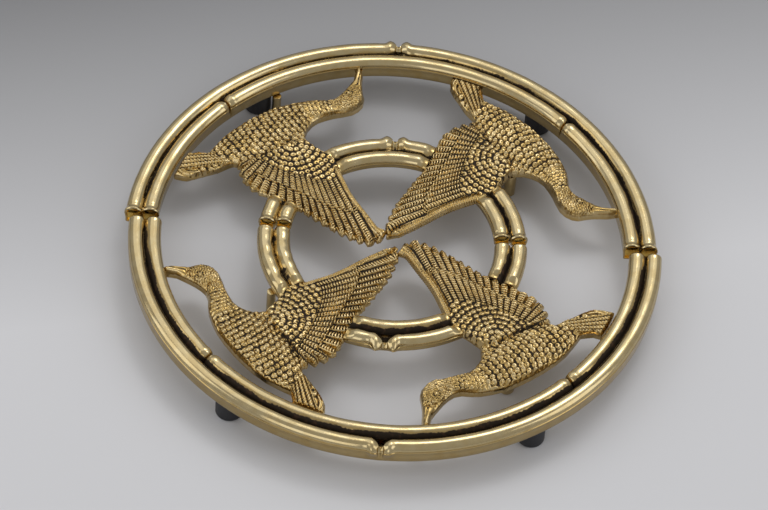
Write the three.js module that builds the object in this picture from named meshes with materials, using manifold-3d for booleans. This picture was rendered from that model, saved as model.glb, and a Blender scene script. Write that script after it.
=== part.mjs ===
// Round openwork trivet: four flying ducks in a frame of doubled bamboo canes, cast in gilt brass,
// standing on four rubber feet. Millimetres, +Z up, +Y to the back.
// The origin is the middle of the outline, on the table.
import * as THREE from 'three';
import { mergeVertices } from 'three/addons/utils/BufferGeometryUtils.js';
import Module from 'manifold-3d';

// Clearances
const SEAT_GAP = 0.3; // between pieces that lie against each other
const JOINT_GAP = 0.6; // between two cane lengths that meet end to end

// Canes: flat base, straight walls, round crown; rim and ring are each two canes side by side
const CANE_WIDTH = 6;
const CANE_CROWN = 2.5; // rise of the round top above the walls
const RIM_WALL = 5.3;
const RING_WALL = 2.4;
const RIM_GROOVE_RADIUS = 93.3; // the line between the two rim canes
const RING_GROOVE_RADIUS = 44.2;
const BREAK_Y = 4.5; // straight line on which all canes break, left and right

// The two halves of the rim are a little out of line with each other
const BACK_SLIP = 0.6; // back half, to the left
const FRONT_SLIP = 1.2; // front half, to the right
const FRONT_PULL = 1.2; // front half, toward the middle

// Cane ends
const NOSE_LENGTH = 2.8; // rounded end
const NOSE_PINCH = 1.5; // what a rounded end loses on each side
const NOSE_DROP = 4.2; // what a rounded end loses in height
const COLLAR_LENGTH = 2.4; // flared end
const COLLAR_FLARE = 0.5;
const BUD_LENGTH = 6; // end that sways outward into a bud
const RIM_BUD = 1.5;
const RING_BUD = 2.4;

// Joints of the canes, in degrees from the right
const RIM_BACK_BUD = 91;
const RIM_FRONT_BUD = 269.6;
const RIM_BACK_JOINTS = [45, 137];
const RIM_FRONT_JOINTS = [224, 317];
const RING_BACK_BUD = 91.5;
const RING_FRONT_BUD = 269.5;

// Ducks: one design, drawn for the back right and turned round the middle
const DUCK_WALL = 3.4; // thickness at the edge
const DUCK_SINK = 2.4; // edge of the ducks below the crest of the canes
const DUCK_TURNS = { back_right: -0.4, back_left: 85.4, front_left: 178.4, front_right: 264.9 };
const BEAK_ANGLES = [14.5, 15.9]; // where beak and tail meet the rim, on the drawn duck
const TAIL_ANGLES = [70.2, 78];
const BODY_RISE = 2.2;
const NECK_RISE = 1.7;
const HEAD_RISE = 2;
const BEAK_RADIUS = 1.5;
const EYE_RADIUS = 0.95;
const FLIGHT_FEATHERS = 20;
const FLIGHT_FEATHER_RADIUS = 1.05;
const SCALLOP_REACH = 1.1; // pull of a feather tip out of the trailing edge
const TAIL_FEATHERS = 5;
const TAIL_FEATHER_RADIUS = 1.2;
const WING_BONE_RADIUS = 1.3;
const RIDGE_SINK = 0.35; // axis of a feather or bone below the face that it lies on

// Angles, on the drawn duck, at which the ring is well inside its wing
const RING_MEETS_DUCK = 45;
const RING_LEAVES_DUCK = 62;

// Feet and studs
const FOOT_HEIGHT = 9.5;
const FOOT_DIAMETER = 10.2;
const FOOT_ROUNDING = 1.2;
const FOOT_ANGLES = { back_right: 54.6, back_left: 125.7, front_left: 233, front_right: 305 };
const RIM_STUD_DIAMETER = 3.4;
const RIM_STUD_ANGLE = 122.7;
const RING_STUD_DIAMETER = 3.4;
const RING_STUD_ANGLE = 211;
const THROAT_STUD_DIAMETER = 4.4;
const BREAST_STUD_DIAMETER = 6;
const STUD_CLEAR = 0.8; // studs end this far above the table

// Facets
const CANE_STEP = 7.5; // degrees
const CROWN_FACETS = 6;
const DOME_FACETS = 20;
const FOOT_FACETS = 24;
const STUD_FACETS = 12;

// Places that follow from the sizes
const CANE_OFFSET = (CANE_WIDTH + SEAT_GAP) / 2;
const RIM_BASE = FOOT_HEIGHT + SEAT_GAP;
const CREST = RIM_BASE + RIM_WALL + CANE_CROWN;
const RING_BASE = CREST - CANE_CROWN - RING_WALL;
const RIM_INNER_WALL = RIM_GROOVE_RADIUS - CANE_OFFSET - CANE_WIDTH / 2;
const RING_OUTER_WALL = RING_GROOVE_RADIUS + CANE_OFFSET + CANE_WIDTH / 2;
const DRAWN_UNIT = RIM_INNER_WALL / 100; // the ducks are drawn inside a circle of radius 100
const DUCK_TOP = CREST - DUCK_SINK;
const DUCK_BASE = DUCK_TOP - DUCK_WALL;

const rimOuter = { side: 1, radius: RIM_GROOVE_RADIUS + CANE_OFFSET, base: RIM_BASE, wall: RIM_WALL };
const rimInner = { side: -1, radius: RIM_GROOVE_RADIUS - CANE_OFFSET, base: RIM_BASE, wall: RIM_WALL };
const ringOuter = { side: 1, radius: RING_GROOVE_RADIUS + CANE_OFFSET, base: RING_BASE, wall: RING_WALL };
const ringInner = { side: -1, radius: RING_GROOVE_RADIUS - CANE_OFFSET, base: RING_BASE, wall: RING_WALL };

const gilt = new THREE.MeshStandardMaterial({ color: 0xb79c62, roughness: 0.25, metalness: 1 });
const patinated = new THREE.MeshStandardMaterial({ color: 0x9c8149, roughness: 0.42, metalness: 1 });
const rubber = new THREE.MeshStandardMaterial({ color: 0x15161a, roughness: 0.7, metalness: 0 });

const { degToRad, radToDeg, lerp, smoothstep } = THREE.MathUtils;
const wasm = await Module();
wasm.setup();

function toSolid(geometry) {
  geometry.deleteAttribute('normal');
  geometry.deleteAttribute('uv');
  const merged = mergeVertices(geometry);
  const vertProperties = new Float32Array(merged.attributes.position.array);
  const triVerts = new Uint32Array(merged.index.array);
  return new wasm.Manifold(new wasm.Mesh({ numProp: 3, vertProperties, triVerts }));
}

function toGeometry(solid) {
  const mesh = solid.getMesh();
  const geometry = new THREE.BufferGeometry();
  geometry.setAttribute('position', new THREE.BufferAttribute(mesh.vertProperties, 3));
  geometry.setIndex(new THREE.BufferAttribute(mesh.triVerts, 1));
  geometry.computeVertexNormals();
  return geometry;
}

function addMesh(parent, name, geometry, material) {
  const mesh = new THREE.Mesh(geometry, material);
  mesh.name = name;
  parent.add(mesh);
  return mesh;
}

function at(x, y) {
  return new THREE.Vector2(x, y);
}

// A point of the duck drawing.
function drawn(x, y) {
  return at(x * DRAWN_UNIT, y * DRAWN_UNIT);
}

function polar(radius, degrees) {
  return at(radius * Math.cos(degToRad(degrees)), radius * Math.sin(degToRad(degrees)));
}

// Cane ends: the stations an end needs and, at a distance back from it, how far the cane's two
// sides move away from the middle of the trivet and how much height is lost.
const squareEnd = {
  stations: [0],
  shape: () => ({ inner: 0, outer: 0, drop: 0 }),
};

function noseCurl(back) {
  const left = 1 - Math.min(back / NOSE_LENGTH, 1);
  return 1 - Math.sqrt(1 - left * left);
}

const noseEnd = {
  stations: [0, NOSE_LENGTH * 0.12, NOSE_LENGTH * 0.4, NOSE_LENGTH],
  shape: (back) => {
    const curl = noseCurl(back);
    return { inner: NOSE_PINCH * curl, outer: -NOSE_PINCH * curl, drop: NOSE_DROP * curl };
  },
};

// The collar flares upward and to the free side, away from the cane that lies alongside.
function collarEnd(side) {
  return {
    stations: [0, COLLAR_LENGTH],
    shape: (back) => {
      const flare = COLLAR_FLARE * Math.max(0, 1 - back / COLLAR_LENGTH);
      return { inner: side < 0 ? -flare : 0, outer: side > 0 ? flare : 0, drop: -flare };
    },
  };
}

function budEnd(reach) {
  return {
    stations: [...noseEnd.stations, BUD_LENGTH * 0.75, BUD_LENGTH],
    shape: (back) => {
      const sway = reach * (1 - smoothstep(back, NOSE_LENGTH * 0.4, BUD_LENGTH));
      const nose = noseEnd.shape(back);
      return { inner: sway + nose.inner, outer: sway + nose.outer, drop: nose.drop };
    },
  };
}

function caneSection(inner, outer, base, shoulder, crest) {
  const points = [at(inner, base), at(outer, base)];
  for (let i = 0; i <= CROWN_FACETS; i++) {
    const turn = (Math.PI * i) / CROWN_FACETS;
    const across = lerp(inner, outer, (1 + Math.cos(turn)) / 2);
    points.push(at(across, lerp(shoulder, crest, Math.sin(turn))));
  }
  return points;
}

// Closed body through sections that stand upright on radial lines at the given angles.
function sweepRound(sections, angles) {
  const count = sections[0].length;
  const last = (sections.length - 1) * count;
  const positions = [];
  const index = [];
  sections.forEach((section, j) => {
    section.forEach((point) => {
      const place = polar(point.x, angles[j]);
      positions.push(place.x, place.y, point.y);
    });
  });
  for (let here = 0; here < last; here++) {
    const next = (here + 1) % count === 0 ? here + 1 - count : here + 1;
    index.push(here, here + count, next + count);
    index.push(here, next + count, next);
  }
  for (let i = 1; i < count - 1; i++) {
    index.push(0, i, i + 1);
    index.push(last, last + i + 1, last + i);
  }
  const geometry = new THREE.BufferGeometry();
  geometry.setAttribute('position', new THREE.Float32BufferAttribute(positions, 3));
  geometry.setIndex(index);
  geometry.computeVertexNormals();
  return geometry;
}

// One length of cane, bent round the middle from one angle to another.
function caneLength(cane, from, to, fromEnd, toEnd) {
  const perMm = radToDeg(1 / cane.radius);
  const first = fromEnd.stations.map((back) => from + back * perMm);
  const final = toEnd.stations.map((back) => to - back * perMm).reverse();
  const start = first[first.length - 1];
  const span = final[0] - start;
  const steps = Math.max(1, Math.ceil(span / CANE_STEP));
  const between = [];
  for (let i = 1; i < steps; i++) {
    between.push(start + (span * i) / steps);
  }
  const angles = [...first, ...between, ...final];
  const height = cane.wall + CANE_CROWN;
  const sections = angles.map((angle) => {
    const head = fromEnd.shape((angle - from) / perMm);
    const tail = toEnd.shape((to - angle) / perMm);
    const inner = cane.radius - CANE_WIDTH / 2 + head.inner + tail.inner;
    const outer = cane.radius + CANE_WIDTH / 2 + head.outer + tail.outer;
    const share = 1 - (head.drop + tail.drop) / height;
    const shoulder = cane.base + cane.wall * share;
    const crest = cane.base + height * share;
    return caneSection(inner, outer, cane.base, shoulder, crest);
  });
  return sweepRound(sections, angles);
}

// Angles at which the back and the front lengths of a cane stop on the break line.
function backBreak(cane) {
  return radToDeg(Math.asin(BREAK_Y / cane.radius));
}

function frontBreak(cane, pull) {
  return radToDeg(Math.asin((BREAK_Y - JOINT_GAP - pull) / cane.radius));
}

function halfJoint(cane) {
  return radToDeg(JOINT_GAP / 2 / cane.radius);
}

// Rim: cane lengths from break to break, with a joint at each stop between.
function layRimRun(half, names, cane, stops, breakEnd, jointEnd) {
  const opening = halfJoint(cane);
  const final = names.length - 1;
  names.forEach((name, i) => {
    const from = i === 0 ? stops[i] : stops[i] + opening;
    const to = i === final ? stops[i + 1] : stops[i + 1] - opening;
    const fromEnd = i === 0 ? breakEnd : jointEnd;
    const toEnd = i === final ? breakEnd : jointEnd;
    addMesh(half, name, caneLength(cane, from, to, fromEnd, toEnd), gilt);
  });
}

function buildRim(backHalf, frontHalf) {
  const bud = budEnd(RIM_BUD);
  const backStops = (cane, joints) => {
    const stop = backBreak(cane);
    return [stop, ...joints, 180 - stop];
  };
  const frontStops = (cane, joints) => {
    const stop = frontBreak(cane, FRONT_PULL);
    return [180 - stop, ...joints, 360 + stop];
  };
  const outerBack = ['rim_outer_back_right', 'rim_outer_back_left'];
  const outerFront = ['rim_outer_front_left', 'rim_outer_front_right'];
  const innerBack = ['rim_inner_right_back', 'rim_inner_back', 'rim_inner_left_back'];
  const innerFront = ['rim_inner_left_front', 'rim_inner_front', 'rim_inner_right_front'];
  layRimRun(backHalf, outerBack, rimOuter, backStops(rimOuter, [RIM_BACK_BUD]), collarEnd(1), bud);
  layRimRun(frontHalf, outerFront, rimOuter, frontStops(rimOuter, [RIM_FRONT_BUD]), noseEnd, bud);
  layRimRun(backHalf, innerBack, rimInner, backStops(rimInner, RIM_BACK_JOINTS), collarEnd(-1), noseEnd);
  layRimRun(frontHalf, innerFront, rimInner, frontStops(rimInner, RIM_FRONT_JOINTS), noseEnd, noseEnd);
}

// Duck outline, anticlockwise from the beak over the back, tail, wing and throat. Beak and tail
// run into the rim, which trims them.
const trailingEdge = new THREE.SplineCurve([
  drawn(31.8, 71.6), drawn(26.3, 69.6), drawn(20, 65.2), drawn(15.6, 54.9),
  drawn(11.2, 42.3), drawn(6.2, 32.5), drawn(0.9, 22.4), drawn(-2.5, 13),
]);

function duckShape() {
  const reach = RIM_INNER_WALL + CANE_WIDTH / 2;
  const beakTop = polar(reach, BEAK_ANGLES[1]);
  const beakBottom = polar(reach, BEAK_ANGLES[0]);
  const tailFront = polar(reach, TAIL_ANGLES[0]);
  const tailBack = polar(reach, TAIL_ANGLES[1]);
  const brow = drawn(89.2, 28.9);
  const rump = drawn(33.8, 90.3);
  const shape = new THREE.Shape();
  shape.moveTo(beakTop.x, beakTop.y);
  shape.lineTo(brow.x, brow.y);
  shape.splineThru([
    drawn(80, 33.4), drawn(75.2, 38.2), drawn(73.8, 46.9), drawn(68.6, 57.9),
    drawn(59.5, 69.1), drawn(48, 79.1), drawn(35.4, 85.3),
  ]);
  shape.lineTo(rump.x, rump.y);
  shape.lineTo(tailFront.x, tailFront.y);
  shape.lineTo(tailBack.x, tailBack.y);
  shape.splineThru([
    drawn(20.6, 92.6), drawn(22.4, 87.1), drawn(27.4, 79.8), drawn(32, 74.1),
    trailingEdge.points[0],
  ]);
  const tips = trailingEdge.getSpacedPoints(FLIGHT_FEATHERS);
  for (let i = 1; i < tips.length; i++) {
    const along = tips[i].clone().sub(tips[i - 1]).normalize();
    const pull = tips[i].clone().add(tips[i - 1]).multiplyScalar(0.5);
    pull.add(at(along.y, -along.x).multiplyScalar(SCALLOP_REACH));
    shape.quadraticCurveTo(pull.x, pull.y, tips[i].x, tips[i].y);
  }
  shape.splineThru([drawn(-3.4, 8.9), drawn(-0.9, 5.3), drawn(3, 4.3)]);
  shape.splineThru([
    drawn(10.3, 9.4), drawn(22.9, 19.7), drawn(33.2, 25.6),
    drawn(41.6, 30.4), drawn(46, 38.2), drawn(49.9, 44.3),
  ]);
  shape.splineThru([
    drawn(56, 45.1), drawn(62.9, 41.9), drawn(67.5, 35), drawn(71.6, 26.3),
    drawn(77.8, 22.5), drawn(84.6, 24.2), drawn(91.5, 25),
  ]);
  shape.lineTo(beakBottom.x, beakBottom.y);
  return shape;
}

const duckOutline = duckShape().getPoints(2);
duckOutline.pop();

// The same outline moved outward all round.
function growOutline(points, distance) {
  return points.map((point, i) => {
    const before = points[(i + points.length - 1) % points.length];
    const after = points[(i + 1) % points.length];
    const came = point.clone().sub(before).normalize();
    const goes = after.clone().sub(point).normalize();
    const out = at(came.y + goes.y, -came.x - goes.x).normalize();
    const miter = out.dot(at(came.y, -came.x));
    return point.clone().add(out.multiplyScalar(distance / miter));
  });
}

function prism(points, from, to) {
  const options = { depth: to - from, bevelEnabled: false };
  const geometry = new THREE.ExtrudeGeometry(new THREE.Shape(points), options);
  geometry.translate(0, 0, from);
  return geometry;
}

// The space that a duck takes out of whatever it meets.
function duckRoom(name) {
  const room = prism(growOutline(duckOutline, SEAT_GAP), 0, CREST + RIM_WALL);
  room.rotateZ(degToRad(DUCK_TURNS[name]));
  return toSolid(room);
}

// A low oval dome on the duck's face, with its length and width in units of the drawing.
function dome(place, length, width, rise, degrees) {
  const geometry = new THREE.SphereGeometry(1, DOME_FACETS, DOME_FACETS / 2);
  geometry.rotateX(Math.PI / 2);
  geometry.scale((length * DRAWN_UNIT) / 2, (width * DRAWN_UNIT) / 2, rise);
  geometry.rotateZ(degToRad(degrees));
  geometry.translate(place.x, place.y, DUCK_TOP);
  return toSolid(geometry);
}

// A tapering ridge that lies on the duck's face.
function ridge(from, to, fromRadius, toRadius) {
  const along = to.clone().sub(from);
  const geometry = new THREE.CylinderGeometry(toRadius, fromRadius, along.length(), 6);
  geometry.rotateZ(along.angle() - Math.PI / 2);
  const middle = from.clone().lerp(to, 0.5);
  geometry.translate(middle.x, middle.y, DUCK_TOP - RIDGE_SINK);
  return toSolid(geometry);
}

function wingFeathers() {
  const roots = new THREE.SplineCurve([drawn(36.6, 64), drawn(34.9, 49.2), drawn(26.9, 27.2)]);
  const feathers = [];
  for (let i = 0; i < FLIGHT_FEATHERS; i++) {
    const across = (i + 0.5) / FLIGHT_FEATHERS;
    const tip = trailingEdge.getPointAt(across);
    const root = roots.getPointAt(across);
    tip.lerp(root, FLIGHT_FEATHER_RADIUS / tip.distanceTo(root));
    feathers.push(ridge(root, tip, FLIGHT_FEATHER_RADIUS * 0.8, FLIGHT_FEATHER_RADIUS));
  }
  return feathers;
}

function tailFeathers() {
  const feathers = [];
  for (let i = 0; i < TAIL_FEATHERS; i++) {
    const across = (i + 0.5) / TAIL_FEATHERS;
    const root = drawn(36, 83.5).lerp(drawn(32.2, 76), across);
    const tip = polar(RIM_INNER_WALL, lerp(TAIL_ANGLES[0], TAIL_ANGLES[1], across));
    feathers.push(ridge(root, tip, TAIL_FEATHER_RADIUS * 0.7, TAIL_FEATHER_RADIUS));
  }
  return feathers;
}

function duckRelief() {
  const eye = drawn(79.4, 29.5);
  const beak = polar(RIM_INNER_WALL, (BEAK_ANGLES[0] + BEAK_ANGLES[1]) / 2);
  const shoulder = drawn(40, 32.5);
  const wrist = drawn(22.2, 21.5);
  const wingTip = drawn(1.6, 6.6);
  const eyeball = new THREE.SphereGeometry(EYE_RADIUS, DOME_FACETS / 2, DOME_FACETS / 4);
  eyeball.translate(eye.x, eye.y, DUCK_TOP + HEAD_RISE - EYE_RADIUS / 3);
  return [
    dome(drawn(51.2, 62.3), 43.5, 20.1, BODY_RISE, -42),
    dome(drawn(69.6, 40.9), 21.7, 8.5, NECK_RISE, -76),
    dome(drawn(77.3, 28.1), 13.7, 9.1, HEAD_RISE, -13),
    toSolid(eyeball),
    ridge(drawn(80, 27.9), beak, BEAK_RADIUS, BEAK_RADIUS * 0.5),
    ridge(shoulder, wrist, WING_BONE_RADIUS, WING_BONE_RADIUS),
    ridge(wrist, wingTip, WING_BONE_RADIUS, WING_BONE_RADIUS * 0.8),
    ...wingFeathers(),
    ...tailFeathers(),
  ];
}

// The faceted inner wall of one half of the rim, less the clearance that beak and tail keep to it.
function rimSpace(half) {
  const radius = RIM_INNER_WALL * Math.cos(degToRad(CANE_STEP / 2)) - SEAT_GAP;
  const space = new THREE.CylinderGeometry(radius, radius, CREST * 2, 360 / CANE_STEP);
  space.rotateX(Math.PI / 2);
  space.translate(half.position.x, half.position.y, CREST);
  return toSolid(space);
}

function buildDucks(trivet, backHalf, frontHalf) {
  const names = Object.keys(DUCK_TURNS);
  const plate = toSolid(prism(duckOutline, DUCK_BASE, DUCK_TOP));
  const duck = toGeometry(duckRelief().reduce((whole, piece) => whole.add(piece), plate));
  names.forEach((name, i) => {
    const half = name.startsWith('back') ? backHalf : frontHalf;
    const neighbour = names[(i + 1) % names.length];
    const turned = toSolid(duck.clone().rotateZ(degToRad(DUCK_TURNS[name])));
    const trimmed = turned.intersect(rimSpace(half)).subtract(duckRoom(neighbour));
    addMesh(trivet, `duck_${name}`, toGeometry(trimmed), patinated);
  });
}

// Ring: both canes run from duck to duck, break left and right like the rim, and the outer one
// has a bud joint at the back and the front.
function buildRing(trivet) {
  const meets = (duck) => DUCK_TURNS[duck] + RING_MEETS_DUCK;
  const leaves = (duck) => DUCK_TURNS[duck] + RING_LEAVES_DUCK;
  const rooms = Object.keys(DUCK_TURNS).map(duckRoom);
  const lay = (name, cane, from, to, fromEnd, toEnd) => {
    const whole = toSolid(caneLength(cane, from, to, fromEnd, toEnd));
    addMesh(trivet, name, toGeometry(rooms.reduce((rest, room) => rest.subtract(room), whole)), gilt);
  };
  const opening = halfJoint(ringOuter);
  const bud = budEnd(RING_BUD);
  for (const [label, cane] of [['outer', ringOuter], ['inner', ringInner]]) {
    const back = backBreak(cane);
    const front = frontBreak(cane, 0);
    const collar = collarEnd(cane.side);
    lay(`ring_${label}_right_front`, cane, leaves('front_right') - 360, front, squareEnd, noseEnd);
    lay(`ring_${label}_right_back`, cane, back, meets('back_right'), collar, squareEnd);
    lay(`ring_${label}_left_back`, cane, leaves('back_left'), 180 - back, squareEnd, collar);
    lay(`ring_${label}_left_front`, cane, 180 - front, meets('front_left'), noseEnd, squareEnd);
  }
  lay('ring_outer_back_right', ringOuter, leaves('back_right'), RING_BACK_BUD - opening, squareEnd, bud);
  lay('ring_outer_back_left', ringOuter, RING_BACK_BUD + opening, meets('back_left'), bud, squareEnd);
  lay('ring_outer_front_left', ringOuter, leaves('front_left'), RING_FRONT_BUD - opening, squareEnd, bud);
  lay('ring_outer_front_right', ringOuter, RING_FRONT_BUD + opening, meets('front_right'), bud, squareEnd);
  lay('ring_inner_back', ringInner, leaves('back_right'), meets('back_left'), squareEnd, squareEnd);
  lay('ring_inner_front', ringInner, leaves('front_left'), meets('front_right'), squareEnd, squareEnd);
}

// Rubber foot: a round bumper under both canes of the rim, with a flat to stand on.
function footGeometry() {
  const radius = FOOT_DIAMETER / 2;
  const flat = radius - FOOT_ROUNDING;
  const path = new THREE.Path();
  path.moveTo(0, 0);
  path.lineTo(flat, 0);
  path.absarc(flat, FOOT_ROUNDING, FOOT_ROUNDING, -Math.PI / 2, 0, false);
  path.lineTo(radius, FOOT_HEIGHT);
  path.lineTo(0, FOOT_HEIGHT);
  const geometry = new THREE.LatheGeometry(path.getPoints(2), FOOT_FACETS);
  geometry.rotateX(Math.PI / 2);
  return geometry;
}

function buildFeet(backHalf, frontHalf) {
  for (const [name, angle] of Object.entries(FOOT_ANGLES)) {
    const half = name.startsWith('back') ? backHalf : frontHalf;
    const place = polar(RIM_GROOVE_RADIUS, angle);
    addMesh(half, `foot_${name}`, footGeometry(), rubber).position.set(place.x, place.y, 0);
  }
}

// Cast studs that hang from the rim, the ring and two ducks and stop short of the table.
function addStud(parent, name, place, diameter, underside) {
  const height = underside - SEAT_GAP - STUD_CLEAR;
  const radius = diameter / 2;
  const geometry = new THREE.CylinderGeometry(radius, radius, height, STUD_FACETS);
  geometry.rotateX(Math.PI / 2);
  addMesh(parent, name, geometry, gilt).position.set(place.x, place.y, STUD_CLEAR + height / 2);
}

function buildStuds(trivet, backHalf) {
  const origin = at(0, 0);
  const throat = drawn(49.6, 46.9).rotateAround(origin, degToRad(DUCK_TURNS.back_right));
  const breast = drawn(57.2, 57.2).rotateAround(origin, degToRad(DUCK_TURNS.front_right));
  const rimPlace = polar(RIM_INNER_WALL, RIM_STUD_ANGLE);
  const ringPlace = polar(RING_OUTER_WALL, RING_STUD_ANGLE);
  addStud(backHalf, 'stud_rim_back_left', rimPlace, RIM_STUD_DIAMETER, RIM_BASE);
  addStud(trivet, 'stud_ring_left', ringPlace, RING_STUD_DIAMETER, RING_BASE);
  addStud(trivet, 'stud_duck_back_right', throat, THROAT_STUD_DIAMETER, DUCK_BASE);
  addStud(trivet, 'stud_duck_front_right', breast, BREAST_STUD_DIAMETER, DUCK_BASE);
}

const trivet = new THREE.Group();
trivet.name = 'duck_trivet';
const backHalf = new THREE.Group();
backHalf.position.x = -BACK_SLIP;
const frontHalf = new THREE.Group();
frontHalf.position.set(FRONT_SLIP, FRONT_PULL, 0);
trivet.add(backHalf, frontHalf);
buildRim(backHalf, frontHalf);
buildDucks(trivet, backHalf, frontHalf);
buildRing(trivet);
buildFeet(backHalf, frontHalf);
buildStuds(trivet, backHalf);

// The slipped halves and the buds put the outline off centre: bring its middle to the origin.
const middle = new THREE.Box3().setFromObject(trivet).getCenter(new THREE.Vector3());
trivet.position.set(-middle.x, -middle.y, 0);

export default trivet;
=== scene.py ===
# Round openwork trivet: four flying ducks between a rim and a ring of doubled bamboo canes,
# cast in brass, gilt and darkened in the hollows, standing on four rubber feet.
import math
from types import SimpleNamespace

import bpy
import numpy as np
from mathutils import Matrix, Vector


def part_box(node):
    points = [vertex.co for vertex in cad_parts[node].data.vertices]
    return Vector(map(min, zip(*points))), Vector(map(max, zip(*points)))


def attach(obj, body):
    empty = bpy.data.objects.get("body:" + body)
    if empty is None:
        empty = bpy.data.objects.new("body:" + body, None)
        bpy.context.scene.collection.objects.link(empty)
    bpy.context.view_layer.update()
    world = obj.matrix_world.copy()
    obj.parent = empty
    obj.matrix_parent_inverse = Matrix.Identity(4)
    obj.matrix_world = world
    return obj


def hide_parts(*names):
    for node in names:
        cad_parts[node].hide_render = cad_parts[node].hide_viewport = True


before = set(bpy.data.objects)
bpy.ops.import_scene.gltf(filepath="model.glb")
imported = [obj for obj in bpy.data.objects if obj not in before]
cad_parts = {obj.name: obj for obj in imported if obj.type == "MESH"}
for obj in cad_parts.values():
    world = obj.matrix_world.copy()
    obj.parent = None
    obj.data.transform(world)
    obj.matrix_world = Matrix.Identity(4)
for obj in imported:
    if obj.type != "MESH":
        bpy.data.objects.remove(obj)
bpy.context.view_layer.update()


# Rim, outer cane: four lengths of cane that make the edge of the trivet, cast in brass and gilt.
# Each has a round polished crown over a straight wall. Lengths meet in a pair of buds at the back
# and the front, and at the breaks left and right a flared end faces a rounded one.
MM = 0.001
MIDDLE = np.array([-0.1044, -0.6013])  # middle of ring and ducks, a little off the outline's middle
BACK_MIDDLE = MIDDLE + np.array([-0.6, 0.0])  # the two halves of the rim have slipped
FRONT_MIDDLE = MIDDLE + np.array([1.2, 1.2])
RIM_GROOVE = 93.3
RIM_BASE = 9.8
RIM_WALL = 5.3
CANE_HALF = 3.0
CANE_OFFSET = 3.15  # middle of a cane to the groove between the two
CROWN_RISE = 2.5

# Pale gold for the rubbed crowns that catch the lamps, deep gold where the patina rises: partly wear
# and age, partly painted shade on walls and flanks.
PALE_RUBBED_LIT_GOLD = (0.53, 0.43, 0.24, 1)
DEEP_AGED_SHADED_GOLD = (0.46, 0.33, 0.135, 1)
# Painted reflection: amber gilt inside the hollow ends, standing in for light bounced round inside
# them.
BOUNCE_AMBER = (0.93, 0.66, 0.18, 1)
BOUNCE_BROWN_AMBER = (0.68, 0.42, 0.08, 1)
SOOT = (0.018, 0.011, 0.005, 1)
RUST = (0.05, 0.025, 0.012, 1)
STAIN = (0.13, 0.075, 0.032, 1)  # where the soot thins out
SOOT_STARTS = 0.36  # the patina at which soot starts to cover the metal, and at which it hides it
SOOT_FULL = 0.66
SOOT_ROUGHNESS = 0.6
MOTTLE_SCALE = 1100  # noise scales, higher is finer
SHADE_SCALE = 240
RUST_SCALE = 500
SHEEN_SCALE = 320
PORE_SCALE = 900
PORE_DEPTH = 0.1


def aged_shaded_gold(name, bright, deep, polish, pores, mottling):
    """Gilt brass: pale where it is rubbed and lit, deeper where the patina attribute rises, which is
    partly age and partly painted shade, and sooty where it is high.
    """
    material = bpy.data.materials.new(name)
    material.use_nodes = True
    nodes = material.node_tree.nodes
    link = material.node_tree.links.new
    shader = nodes["Principled BSDF"]
    shader.inputs["Specular IOR Level"].default_value = 0.2
    place = nodes.new("ShaderNodeTexCoord")

    def cloud(scale, detail):
        noise = nodes.new("ShaderNodeTexNoise")
        noise.inputs["Scale"].default_value = scale
        noise.inputs["Detail"].default_value = detail
        link(place.outputs["Object"], noise.inputs["Vector"])
        return noise.outputs["Fac"]

    def blend(share, one, other):
        mix = nodes.new("ShaderNodeMix")
        mix.data_type = "RGBA"
        link(share, mix.inputs["Factor"])
        for socket, colour in (("A", one), ("B", other)):
            target = [s for s in mix.inputs if s.name == socket and s.type == "RGBA"][0]
            if isinstance(colour, tuple):
                target.default_value = colour
            else:
                link(colour, target)
        return [s for s in mix.outputs if s.type == "RGBA"][0]

    def spread(value, low, high, first, last):
        ramp = nodes.new("ShaderNodeMapRange")
        ramp.interpolation_type = "SMOOTHSTEP"
        link(value, ramp.inputs["Value"])
        sockets = ("From Min", "From Max", "To Min", "To Max")
        for socket, number in zip(sockets, (low, high, first, last)):
            ramp.inputs[socket].default_value = number
        return ramp.outputs["Result"]

    patina_and_shade = nodes.new("ShaderNodeAttribute")
    patina_and_shade.attribute_name = "patina_and_shade"
    mottle = spread(cloud(MOTTLE_SCALE, 3), 0.25, 0.75, -mottling, mottling)
    total = nodes.new("ShaderNodeMath")
    link(patina_and_shade.outputs["Fac"], total.inputs[0])
    link(mottle, total.inputs[1])
    soot = spread(total.outputs[0], SOOT_STARTS, SOOT_FULL, 0, 1)
    # the deeper gold follows the patina: age in the hollows, and painted shade on the walls and flanks
    depth = nodes.new("ShaderNodeMath")
    depth.use_clamp = True
    link(spread(cloud(SHADE_SCALE, 2), 0.35, 0.7, 0, 0.45), depth.inputs[0])
    link(spread(patina_and_shade.outputs["Fac"], 0, 0.3, 0, 0.85), depth.inputs[1])
    metal = blend(depth.outputs[0], bright, deep)
    thick = blend(spread(cloud(RUST_SCALE, 2), 0.52, 0.72, 0, 1), SOOT, RUST)
    dirt = blend(spread(soot, 0.35, 0.95, 0, 1), STAIN, thick)
    link(blend(soot, metal, dirt), shader.inputs["Base Color"])
    link(spread(soot, 0, 1, 1, 0.15), shader.inputs["Metallic"])
    sheen = spread(cloud(SHEEN_SCALE, 3), 0.3, 0.7, polish, polish + 0.1)
    rough = nodes.new("ShaderNodeMath")
    rough.operation = "MAXIMUM"
    link(sheen, rough.inputs[0])
    link(spread(soot, 0, 1, 0, SOOT_ROUGHNESS), rough.inputs[1])
    link(rough.outputs[0], shader.inputs["Roughness"])
    pitted = nodes.new("ShaderNodeBump")
    pitted.inputs["Strength"].default_value = pores
    pitted.inputs["Distance"].default_value = PORE_DEPTH * MM
    link(cloud(PORE_SCALE, 3), pitted.inputs["Height"])
    link(pitted.outputs["Normal"], shader.inputs["Normal"])
    return material


cane_gold = aged_shaded_gold("cane_gold", PALE_RUBBED_LIT_GOLD, DEEP_AGED_SHADED_GOLD, polish=0.12, pores=0.03, mottling=0.12)
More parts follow.
